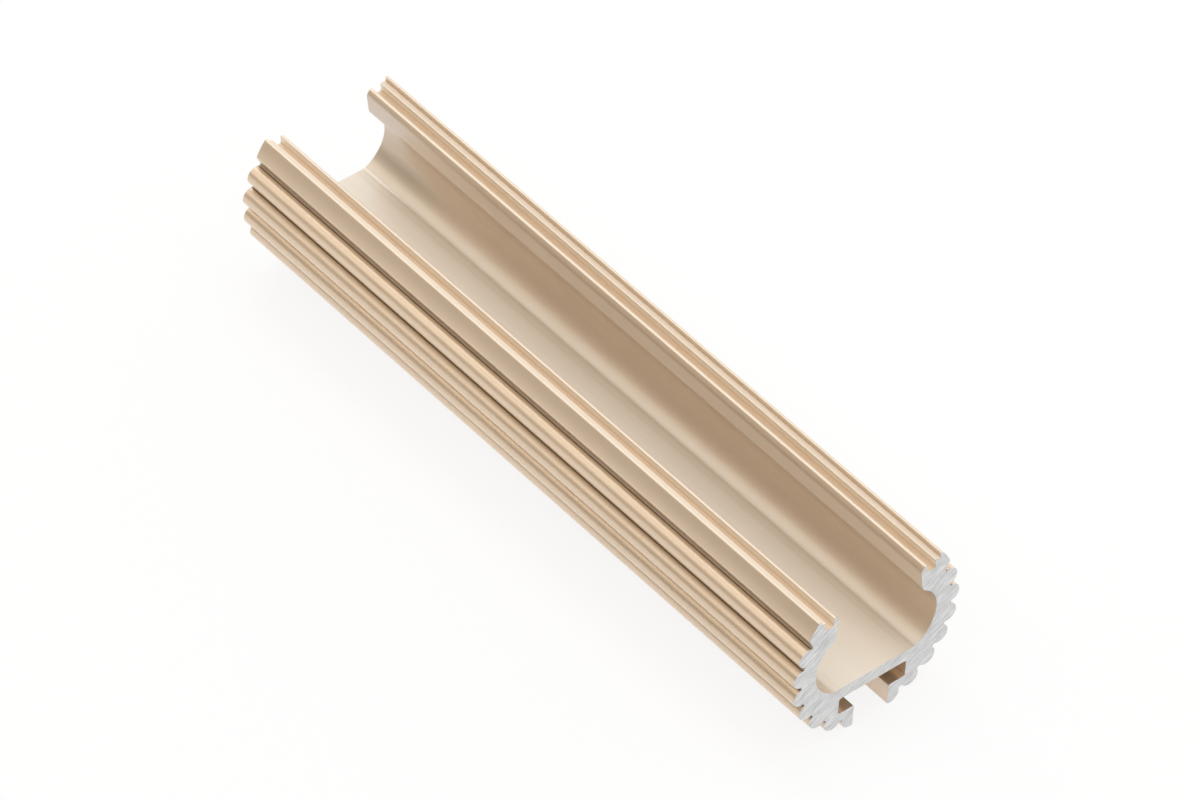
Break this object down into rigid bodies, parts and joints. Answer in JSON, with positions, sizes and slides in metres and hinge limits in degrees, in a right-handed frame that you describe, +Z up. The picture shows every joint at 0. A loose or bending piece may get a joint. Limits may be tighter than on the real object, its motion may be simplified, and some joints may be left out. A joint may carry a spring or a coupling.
{
  "type": "aluminium extrusion profile",
  "caption": "Cut length of round ribbed aluminium extrusion with a channel open along the top, snap grooves in its lips for a cover, and a T-slot along the underside.",
  "frame": {"origin": "on the floor, under the middle of the piece's length and width", "axes": "+Y along the extrusion, +Z up out of the channel, +X across the section"},
  "size_m": [0.02, 0.08, 0.0166],
  "materials": {
    "anodised": "satin champagne anodising, bare saw-cut ends"
  },
  "bodies": {
    "root": {"profile": "anodised"}
  },
  "joints": []
}
